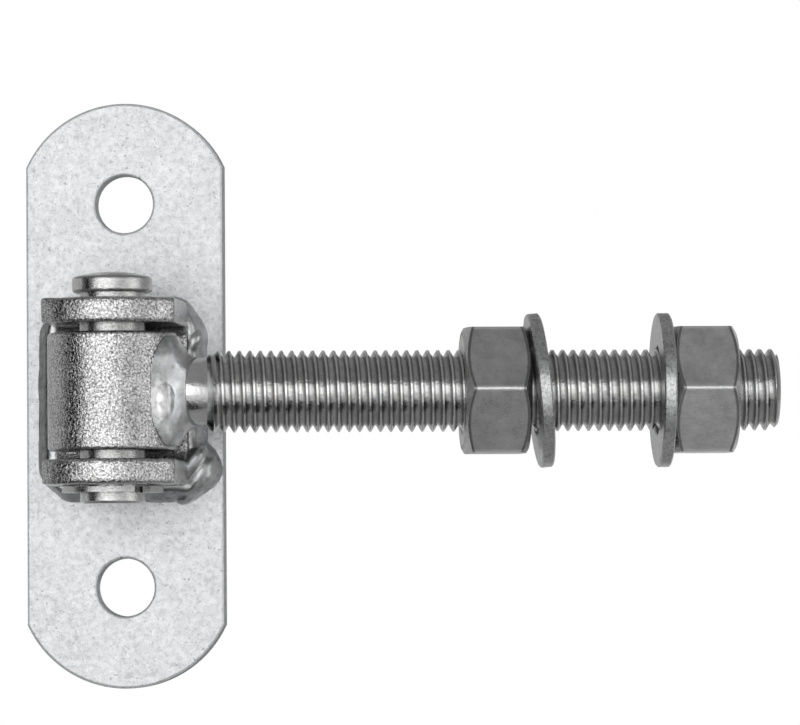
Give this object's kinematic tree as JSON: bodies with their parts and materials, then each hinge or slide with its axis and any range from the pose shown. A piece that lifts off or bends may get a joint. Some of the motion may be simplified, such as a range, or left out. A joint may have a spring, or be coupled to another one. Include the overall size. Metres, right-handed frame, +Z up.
{
  "type": "adjustable gate hinge",
  "caption": "Gate hinge with an arched wall plate, a forked bracket and pin, and a swinging threaded rod with clamping nuts and washers.",
  "frame": {"origin": "centre of the plate's back face, which lies against the wall or post", "axes": "+Z up along the hinge pin, +Y into the wall, +X to the viewer's right as the plate is seen from its front"},
  "size_m": [0.183, 0.055, 0.142],
  "materials": {
    "plate_zinc": "matt galvanised, pale with faint mottling",
    "bracket_zinc": "bright zinc over a rough forged skin",
    "barrel_zinc": "bright zinc with a fine rough skin",
    "weld_zinc": "smooth zinc over weld metal",
    "pin_zinc": "bright smooth zinc",
    "clip_steel": "bright spring steel",
    "rod_zinc": "zinc plated thread",
    "nut_zinc": "satin zinc",
    "washer_zinc": "satin zinc"
  },
  "bodies": {
    "base": {"wall_plate": "plate_zinc", "hinge_bracket": "bracket_zinc", "bracket_weld": "weld_zinc"},
    "pin": {"hinge_pin": "pin_zinc", "retaining_clip": "clip_steel"},
    "arm": {"barrel": "barrel_zinc", "arm_weld": "weld_zinc", "threaded_rod": "rod_zinc"},
    "inner_washer": {"inner_washer": "washer_zinc"},
    "inner_nut": {"inner_nut": "nut_zinc"},
    "outer_washer": {"outer_washer": "washer_zinc"},
    "outer_nut": {"outer_nut": "nut_zinc"}
  },
  "joints": [
    {"name": "arm_swing", "type": "hinge", "parent": "base", "child": "arm", "pos_m": [0, -0.03, 0], "axis": [0, 0, 1], "range_deg": [-208, 11.5]},
    {"name": "pin_turn", "type": "hinge", "parent": "base", "child": "pin", "pos_m": [0, -0.03, 0], "axis": [0, 0, 1], "continuous": true},
    {"name": "inner_washer_slide", "type": "slide", "parent": "arm", "child": "inner_washer", "axis": [0.9895, 0.1444, 0], "range_m": [-0.05, 0.012]},
    {"name": "inner_nut_turn", "type": "hinge", "parent": "inner_washer", "child": "inner_nut", "pos_m": [0, -0.03, 0], "axis": [0.9895, 0.1444, 0], "range_deg": [-7203, 1731]},
    {"name": "outer_washer_slide", "type": "slide", "parent": "arm", "child": "outer_washer", "axis": [0.9895, 0.1444, 0], "range_m": [-0.012, 0.009]},
    {"name": "outer_nut_turn", "type": "hinge", "parent": "outer_washer", "child": "outer_nut", "pos_m": [0, -0.03, 0], "axis": [0.9895, 0.1444, 0], "range_deg": [-1731, 1298]}
  ],
  "couplings": [
    {"joint": "inner_nut_turn", "follows": "inner_washer_slide", "rad_per_m": 2513.3},
    {"joint": "outer_nut_turn", "follows": "outer_washer_slide", "rad_per_m": 2513.3}
  ]
}
